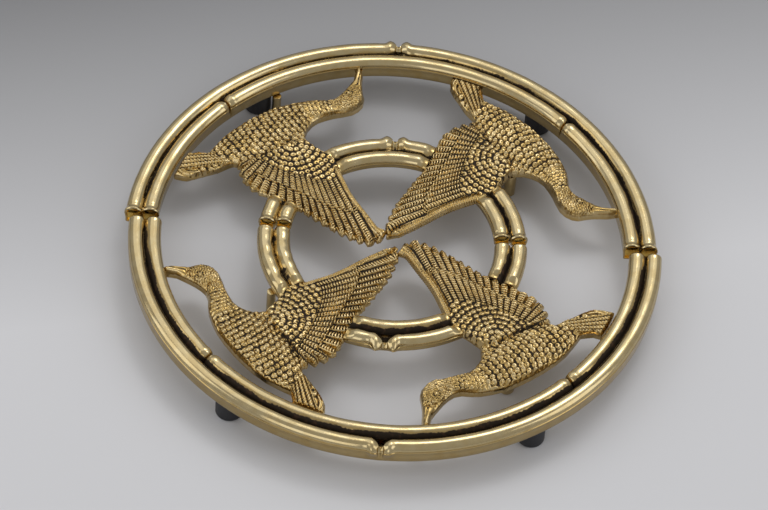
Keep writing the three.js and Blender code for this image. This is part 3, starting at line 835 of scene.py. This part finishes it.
def rope_face(spots):
    """Two cords of nicked metal along the wing's front: where they are, rise, soot, and nicks."""
    off_lead, on_lead = beside(curve_through(LEADING_EDGE, LEADING_POINTS)[0], spots)
    inside, run = np.abs(off_lead) * DUCK_UNIT, on_lead * DUCK_UNIT
    gap = 0.5 - 0.5 * np.cos(2 * math.pi * run / NICK_PITCH)
    rope = sum(height * bump(inside - away, wide) for away, wide, height in ROPES) * (1 - gap)
    nick = gap * ease(-inside, -1.0, -0.2) * ease(run, 1, 3) * ease(-run, -40, -36)
    roped = ease(-inside, -2.7, -2.3) * (run < ROPE_LENGTH)
    return roped, ROPE_BASE + ROPE_RISE * rope, ROPE_SOOT - ROPE_RUBBED * rope, nick


TAIL_ANGLES = (69.6, 78.8)
TAIL_RADIUS = 104
TAIL_ROOTS = ([36.4, 84.6], [31.2, 74.6])
TAIL_LINES = 60
TAIL_BEYOND = 73  # the tail lies beyond this line of the drawing
TAIL_RIBS = 5.5
TAIL_BARB_PITCH = 1.3
TAIL_BASE = 0.5
TAIL_RISE = 0.8
TAIL_SOOT = 0.74
TAIL_RUBBED = 0.95


def tail_face(spots):
    """The ribbed fan of the tail: where it is, rise and soot."""
    turns = np.radians(np.linspace(*TAIL_ANGLES, TAIL_LINES))
    tips = TAIL_RADIUS * np.column_stack([np.cos(turns), np.sin(turns)])
    place, out, length = fan(np.linspace(*TAIL_ROOTS, TAIL_LINES), tips, spots)
    tail = ease(out, 0, 0.06) * (place >= 0) * (spots[:, 1] > TAIL_BEYOND)
    ribs = place / (TAIL_LINES - 1) * TAIL_RIBS
    vane = rib(ribs) * (0.35 + 0.65 * rung(out * length * DUCK_UNIT / TAIL_BARB_PITCH))
    return tail, TAIL_BASE + TAIL_RISE * vane, TAIL_SOOT - TAIL_RUBBED * vane


BEAK_STARTS = (84.5, 86.5)
BEAK_TIP = (88, 98)
BEAK_HALF = 2.6
BEAK_RISE = 0.9
BEAK_TIP_RISE = 0.7
BEAK_SOOT = 0.2
MOUTH = (85, 26.9, -0.07)  # a place on the line of the mouth, and its slope
MOUTH_DEEP = 0.3
MOUTH_WIDE = 0.35
MOUTH_SOOT = 0.45
MOUTH_SOOT_WIDE = 0.4


def beak_face(spots):
    """The bill with the line of its mouth: where it is, rise, soot, and where its tip is."""
    start, level, slope = MOUTH
    off_mouth = spots[:, 1] - (level + slope * (spots[:, 0] - start))
    bill = BEAK_RISE * np.sqrt(np.clip(1 - (off_mouth / BEAK_HALF) ** 2, 0, 1))
    bill = bill - MOUTH_DEEP * bump(off_mouth, MOUTH_WIDE)
    tip = ease(spots[:, 0], *BEAK_TIP)
    soot = BEAK_SOOT + MOUTH_SOOT * bump(off_mouth, MOUTH_SOOT_WIDE)
    return ease(spots[:, 0], *BEAK_STARTS), bill + BEAK_TIP_RISE * tip, soot, tip


CREASE = [(31.6, 72.5), (38, 61.5), (44.5, 54.5), (50, 44.8)]
CREASE_POINTS = 30
CREASE_STARTS = (2, 5)
CREASE_ENDS = (-26, -20)
CREASE_WIDE = 0.55
CREASE_DEEP = 0.45
CREASE_SOOT = 0.3
WING_LEAVES = -21  # there is no wing nearer to the head than this
WING_LIFT = 1.3  # a wing is this much thinner than the body
BEAK_REACH = np.array([2.0, -0.2])  # the beak runs on to the rim
EYE = np.array([79.4, 29.5])
EYE_BALL = 0.6
EYE_RISE = 0.4
EYE_RUBBED = 0.4
EYE_RING = 1.15
EYE_RING_WIDE = 0.3
EYE_RING_DEEP = 0.2
EYE_RING_SOOT = 0.3
EDGE_ROUNDING = 1.1


def chase(spots, from_edge):
    """Chased face: its height over the plain casting, its soot, its shift, underside and nicks."""
    rise, soot, from_head = body_face(spots)
    feathered, feather_rise, feather_soot, drawn_in = feather_face(spots)
    covert_rise, covert_soot = covert_face(spots)
    roped, rope_rise, rope_soot, nick = rope_face(spots)
    wing_rise = feathered * feather_rise + (1 - feathered) * covert_rise
    wing_soot = feathered * feather_soot + (1 - feathered) * covert_soot
    wing_rise = wing_rise * (1 - roped) + roped * rope_rise
    wing_soot = wing_soot * (1 - roped) + roped * rope_soot
    drawn_in = drawn_in - nick[:, None] * LEADING_OUT * NICK / DUCK_UNIT

    off_crease, on_crease = beside(curve_through(CREASE, CREASE_POINTS)[0], spots)
    wing = ease(-off_crease * DUCK_UNIT, -0.5, 0.9)
    wing = np.where(from_head < WING_LEAVES, wing, 0)
    crease = bump(off_crease * DUCK_UNIT, CREASE_WIDE)
    crease = crease * ease(on_crease, *CREASE_STARTS) * ease(-on_crease, *CREASE_ENDS)
    rise = rise * (1 - wing) + wing_rise * wing - CREASE_DEEP * crease
    soot = soot * (1 - wing) + wing_soot * wing + CREASE_SOOT * crease * (from_head < WING_LEAVES)

    tail, tail_rise, tail_soot = tail_face(spots)
    rise = rise * (1 - tail) + tail * tail_rise
    soot = soot * (1 - tail) + tail * tail_soot
    beak, beak_rise, beak_soot, beak_tip = beak_face(spots)
    rise = rise * (1 - beak) + beak * beak_rise
    soot = soot * (1 - beak) + beak * beak_soot
    drawn_in = drawn_in + beak_tip[:, None] * BEAK_REACH

    from_eye = np.hypot(*(spots - EYE).T) * DUCK_UNIT
    ball, socket = bump(from_eye, EYE_BALL), bump(from_eye - EYE_RING, EYE_RING_WIDE)
    rise = rise + EYE_RISE * ball - EYE_RING_DEEP * socket
    soot = soot + EYE_RING_SOOT * socket - EYE_RUBBED * ball

    patches = np.sin(spots[:, 0] * 0.31 + 1.1) * np.sin(spots[:, 1] * 0.27 + 0.4)
    soot = soot + 0.1 * patches - 0.3 * ease(-from_edge, -1.1, -0.2)
    roll = np.minimum(from_edge / EDGE_ROUNDING, 1)
    edge = EDGE_ROUNDING * (1 - np.sqrt(np.clip(1 - (1 - roll) ** 2, 0, 1)))
    return rise * ease(from_edge, 0.05, 1.0) - edge, soot, drawn_in, WING_LIFT * wing, nick


RELIEF_CUT = 0.9  # the solid's own relief is cut off this far under the top of the plate


def plain_casting(node):
    """The duck as one flat slab with the outline of its CAD node."""
    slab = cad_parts[node].copy()
    slab.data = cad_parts[node].data.copy()
    bpy.context.scene.collection.objects.link(slab)
    for key in list(slab.keys()):
        del slab[key]
    slab.parent = None
    slab.name = "chased_" + node
    slab["stands_for"] = node
    take_up(slab)
    bpy.ops.object.mode_set(mode="EDIT")
    bpy.ops.mesh.select_all(action="SELECT")
    bpy.ops.mesh.remove_doubles(threshold=MERGE_WITHIN * MM)
    level = (0, 0, (DUCK_TOP - RELIEF_CUT) * MM)
    bpy.ops.mesh.bisect(plane_co=level, plane_no=(0, 0, 1), use_fill=True, clear_outer=True)
    bpy.ops.object.mode_set(mode="OBJECT")
    return slab


def outline_of(slab):
    """Edges of the slab's base, as pairs of points."""
    places = points_of(slab)
    low = places[:, 2] < DUCK_BASE + 0.05
    flat = {}
    for face in slab.data.polygons:
        if face.normal.z < -0.9:
            for edge in face.edge_keys:
                flat[edge] = flat.get(edge, 0) + 1
    border = np.array([edge for edge, times in flat.items() if times == 1])
    return places[border[low[border].all(axis=1)]][:, :, :2]


def distance_to(outline, spots):
    """How far each spot is from the nearest edge of an outline."""
    best = np.full(len(spots), np.inf)
    for one, two in outline:
        along = two - one
        share = np.clip((spots - one) @ along / max(along @ along, 1e-12), 0, 1)
        gap = spots - one - share[:, None] * along
        best = np.minimum(best, np.hypot(gap[:, 0], gap[:, 1]))
    return best


GRAIN = 0.21  # mesh size of the chased face
KEPT_SHARE = 0.72  # share of the mesh that is kept, what goes is mostly on the flat back
WING_REACH = {  # wing tips meet in pairs: the place on the tip and how far it runs on
    "back_right": ((-1.8, 5.2), (-1.9, -3.2)),
    "back_left": ((3.0, 4.0), (2.7, -1.2)),
    "front_left": ((-1.8, 5.2), (-1.9, -3.2)),
    "front_right": ((3.0, 4.0), (2.7, -1.2)),
}
WING_REACH_WIDE = 3.2
FACE_STARTS = (0.75, 0.95)  # share of the casting's height at which its chased face starts
# painted shade: a low patina that deepens the gold of the duck's walls
DUCK_WALL_SHADE = 0.16
NICK_PATINA = 0.4
DUCK_SMOOTH = 60  # degrees

for name, turn in DUCK_TURNS.items():
    duck = plain_casting(f"duck_{name}")
    outline = outline_of(duck)
    even = duck.modifiers.new("even", "REMESH")
    even.mode = "VOXEL"
    even.voxel_size = GRAIN * MM
    bpy.ops.object.modifier_apply(modifier=even.name)
    places = points_of(duck)
    slab_top = places[:, 2].max()
    spin = math.radians(-turn)
    turning = np.array([[math.cos(spin), math.sin(spin)], [-math.sin(spin), math.cos(spin)]])
    level = (places[:, :2] - MIDDLE) @ turning / DUCK_UNIT
    rise, soot, drawn_in, lift, nick = chase(level, distance_to(outline, places[:, :2]))
    tip_place, tip_reach = map(np.array, WING_REACH[name])
    near_tip = bump(np.hypot(*(level - tip_place).T), WING_REACH_WIDE)
    drawn_in = drawn_in + near_tip[:, None] * tip_reach
    places[:, :2] += drawn_in * DUCK_UNIT @ turning.T
    share = np.clip((places[:, 2] - DUCK_BASE) / (slab_top - DUCK_BASE), 0, 1)
    places[:, 2] = DUCK_BASE + lift + share * (DUCK_TOP + rise - DUCK_BASE - lift)
    put_points(duck, places)
    face = ease(share, *FACE_STARTS)
    # the walls get painted shade, and soot where the rope is nicked
    keep_patina_and_shade(duck, soot * face + (DUCK_WALL_SHADE + NICK_PATINA * nick) * (1 - face))
    take_up(duck)
    thin = duck.modifiers.new("thin", "DECIMATE")
    thin.ratio = KEPT_SHARE
    bpy.ops.object.modifier_apply(modifier=thin.name)
    bpy.ops.object.shade_smooth_by_angle(angle=math.radians(DUCK_SMOOTH))
    add_to_trivet(duck, duck_gold)


# Rubber feet: four black bumpers pushed up under both canes of the rim, moulded with a rounded
# bottom edge and a flat to stand on.
FOOT_ROUNDING = 1.2
FOOT_TOP_ROUNDING = 0.3
FOOT_FACETS = 64
BLACK_RUBBER = (0.006, 0.006, 0.008, 1)
DUSTY_RUBBER = (0.022, 0.022, 0.026, 1)
RUBBER_ROUGHNESS = (0.45, 0.65)
DUST_SCALE = 700


def foot_rubber():
    """Black rubber with a little dust, rougher where the dust is."""
    material = bpy.data.materials.new("foot_rubber")
    material.use_nodes = True
    nodes = material.node_tree.nodes
    link = material.node_tree.links.new
    shader = nodes["Principled BSDF"]
    place = nodes.new("ShaderNodeTexCoord")
    dust = nodes.new("ShaderNodeTexNoise")
    dust.inputs["Scale"].default_value = DUST_SCALE
    dust.inputs["Detail"].default_value = 4
    link(place.outputs["Object"], dust.inputs["Vector"])
    tone = nodes.new("ShaderNodeValToRGB")
    tone.color_ramp.elements[0].color = BLACK_RUBBER
    tone.color_ramp.elements[1].color = DUSTY_RUBBER
    link(dust.outputs["Fac"], tone.inputs["Fac"])
    link(tone.outputs["Color"], shader.inputs["Base Color"])
    wear = nodes.new("ShaderNodeMapRange")
    wear.inputs["To Min"].default_value = RUBBER_ROUGHNESS[0]
    wear.inputs["To Max"].default_value = RUBBER_ROUGHNESS[1]
    link(dust.outputs["Fac"], wear.inputs["Value"])
    link(wear.outputs["Result"], shader.inputs["Roughness"])
    return material


black_rubber = foot_rubber()
PEG_STEPS = 6  # in the rounding of an edge
PEG_SMOOTH = 40  # degrees


def turned_peg(name, node, bottom_rounding, top_rounding, facets):
    """A round peg the size of its CAD node, with rounded edges at the bottom and the top."""
    low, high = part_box(node)
    size = high - low
    deselect_all()
    bpy.ops.mesh.primitive_cylinder_add(
        vertices=facets, radius=size.x / 2, depth=size.z, location=(low + high) / 2
    )
    peg = bpy.context.object
    peg.name = name
    peg["stands_for"] = node
    bpy.ops.object.transform_apply(location=True)
    for rounding, normal in ((bottom_rounding, -1), (top_rounding, 1)):
        bpy.ops.object.mode_set(mode="EDIT")
        bpy.ops.mesh.select_all(action="DESELECT")
        bpy.ops.object.mode_set(mode="OBJECT")
        for face in peg.data.polygons:
            face.select = is_cap(face) and face.normal.z * normal > 0.9
        bpy.ops.object.mode_set(mode="EDIT")
        bpy.ops.mesh.select_mode(type="FACE")
        bpy.ops.mesh.region_to_loop()
        bpy.ops.mesh.bevel(offset=rounding * MM, segments=PEG_STEPS, affect="EDGES")
    bpy.ops.object.mode_set(mode="OBJECT")
    bpy.ops.object.shade_smooth_by_angle(angle=math.radians(PEG_SMOOTH))
    return peg


for corner in ("back_right", "back_left", "front_left", "front_right"):
    foot = turned_peg(
        f"bumper_{corner}", f"foot_{corner}", FOOT_ROUNDING, FOOT_TOP_ROUNDING, FOOT_FACETS
    )
    add_to_trivet(foot, black_rubber)


# Studs: short brass pegs left from casting under the rim, the ring and two of the ducks. They stop
# short of the table and are dull gilt, with the same painted shade as the walls of the canes.
STUD_ROUNDING = 0.4
STUD_TOP_ROUNDING = 0.2
STUD_FACETS = 32
STUD_SHADE = 0.12
for spot in ("rim_back_left", "ring_left", "duck_back_right", "duck_front_right"):
    stud = turned_peg(f"peg_{spot}", f"stud_{spot}", STUD_ROUNDING, STUD_TOP_ROUNDING, STUD_FACETS)
    keep_patina_and_shade(stud, np.full(len(stud.data.vertices), STUD_SHADE))
    add_to_trivet(stud, cane_gold)


# Floor: a sheet of matt paper that the trivet stands on, not a piece of it. It is pale at the front,
# and painted shade darkens it to grey toward the back.
FLOOR_SIZE = 12.0
FLOOR_FRONT = (0.675, 0.675, 0.695, 1)
SHADED_FLOOR_BACK = (0.165, 0.165, 0.17, 1)
SHADE_TOWARD = (-0.24, 0.97, 0)
SHADE_STARTS = -0.01
SHADE_FULL = 0.19
PAPER_ROUGHNESS = 0.8
PAPER_SHINE = 0.1
deselect_all()
bpy.ops.mesh.primitive_plane_add(size=FLOOR_SIZE)
floor = bpy.context.object
floor.name = "floor"
paper = bpy.data.materials.new("paper")
paper.use_nodes = True
paper_nodes = paper.node_tree.nodes
paper_place = paper_nodes.new("ShaderNodeTexCoord")
paper_toward_shade = paper_nodes.new("ShaderNodeVectorMath")
paper_toward_shade.operation = "DOT_PRODUCT"
paper_toward_shade.inputs[1].default_value = SHADE_TOWARD
paper_run = paper_nodes.new("ShaderNodeMapRange")
paper_run.inputs["From Min"].default_value = SHADE_STARTS
paper_run.inputs["From Max"].default_value = SHADE_FULL
paper_tone = paper_nodes.new("ShaderNodeValToRGB")
paper_tone.color_ramp.elements[0].color = FLOOR_FRONT
paper_tone.color_ramp.elements[1].color = SHADED_FLOOR_BACK
paper_link = paper.node_tree.links.new
paper_link(paper_place.outputs["Object"], paper_toward_shade.inputs[0])
paper_link(paper_toward_shade.outputs["Value"], paper_run.inputs["Value"])
paper_link(paper_run.outputs["Result"], paper_tone.inputs["Fac"])
paper_link(paper_tone.outputs["Color"], paper_nodes["Principled BSDF"].inputs["Base Color"])
paper_nodes["Principled BSDF"].inputs["Roughness"].default_value = PAPER_ROUGHNESS
paper_nodes["Principled BSDF"].inputs["Specular IOR Level"].default_value = PAPER_SHINE
floor.data.materials.append(paper)


# Light: a wide soft box overhead toward the back, a small bright one in front of it, a weak one
# from the front, one from each side, and a dim room round them that the metal reflects.
def soft_box(name, place, width, depth, power):
    """A rectangle of light that faces the trivet, with its place and size in metres."""
    deselect_all()
    bpy.ops.object.light_add(type="AREA", location=place)
    lamp = bpy.context.object
    lamp.name = name
    lamp.data.shape = "RECTANGLE"
    lamp.data.size = width
    lamp.data.size_y = depth
    lamp.data.energy = power
    lamp.rotation_euler = (-Vector(place)).to_track_quat("-Z", "Y").to_euler()


soft_box("overhead", (0.0, 0.75, 1.25), width=2.0, depth=1.2, power=5.3)
soft_box("window", (0.25, 0.62, 1.2), width=0.5, depth=0.35, power=2.4)
soft_box("front", (-0.5, -1.1, 0.7), width=0.8, depth=0.8, power=2.0)
soft_box("left_side", (-1.3, -0.1, 0.8), width=0.7, depth=1.2, power=3.0)
soft_box("right_side", (1.3, -0.3, 0.9), width=0.7, depth=1.2, power=3.0)
ROOM_DIM = 0.37  # what the room adds to the light
WALLS_SEEN = 0.45  # how bright the room looks in the metal, low and high
CEILING_SEEN = 0.52
room = bpy.data.worlds.new("room")
bpy.context.scene.world = room
room.use_nodes = True
room_nodes = room.node_tree.nodes
room_link = room.node_tree.links.new
room_rays = room_nodes.new("ShaderNodeLightPath")
room_sees = []
for ray in ("Is Camera Ray", "Is Glossy Ray", "Is Transmission Ray"):
    either = room_nodes.new("ShaderNodeMath")
    either.operation = "MAXIMUM"
    room_link(room_rays.outputs[ray], either.inputs[0])
    if room_sees:
        room_link(room_sees[-1].outputs[0], either.inputs[1])
    room_sees.append(either)
room_place = room_nodes.new("ShaderNodeTexCoord")
room_height = room_nodes.new("ShaderNodeSeparateXYZ")
room_seen = room_nodes.new("ShaderNodeMapRange")
room_seen.inputs["To Min"].default_value = WALLS_SEEN
room_seen.inputs["To Max"].default_value = CEILING_SEEN
room_level = room_nodes.new("ShaderNodeMix")
room_level.inputs[2].default_value = ROOM_DIM
room_link(room_place.outputs["Generated"], room_height.inputs[0])
room_link(room_height.outputs["Z"], room_seen.inputs["Value"])
room_link(room_sees[-1].outputs[0], room_level.inputs[0])
room_link(room_seen.outputs["Result"], room_level.inputs[3])
room_nodes["Background"].inputs["Color"].default_value = (1, 1, 1, 1)
room_link(room_level.outputs[0], room_nodes["Background"].inputs["Strength"])


# Camera: a long lens from the front, fifty degrees above the table and tipped a little to one side.
# Its distance and target are in the trivet's millimetres, its three turns in radians.
LENS = 186.53
SENSOR = 36
SEES_TO = 20  # metres
CAMERA_DISTANCE = 1475.4
CAMERA_RISE = 0.876133
CAMERA_TURN = -0.0193965
CAMERA_ROLL = 0.0894748
CAMERA_TARGET = Vector((-2.864, -7.535, 15.2))
toward = Vector((
    math.sin(CAMERA_TURN) * math.cos(CAMERA_RISE),
    -math.cos(CAMERA_TURN) * math.cos(CAMERA_RISE),
    math.sin(CAMERA_RISE),
))
level_right = Vector((0, 0, 1)).cross(toward).normalized()
level_up = toward.cross(level_right)
right = level_right * math.cos(CAMERA_ROLL) + level_up * math.sin(CAMERA_ROLL)
upward = level_up * math.cos(CAMERA_ROLL) - level_right * math.sin(CAMERA_ROLL)
deselect_all()
bpy.ops.object.camera_add()
camera = bpy.context.object
camera.data.lens = LENS
camera.data.sensor_width = SENSOR
camera.data.sensor_fit = "HORIZONTAL"
camera.data.clip_end = SEES_TO
spot = (CAMERA_TARGET + toward * CAMERA_DISTANCE) * MM
camera.matrix_world = Matrix.Translation(spot) @ Matrix((right, upward, toward)).transposed().to_4x4()
bpy.context.scene.camera = camera
bpy.context.scene.view_settings.view_transform = "Standard"
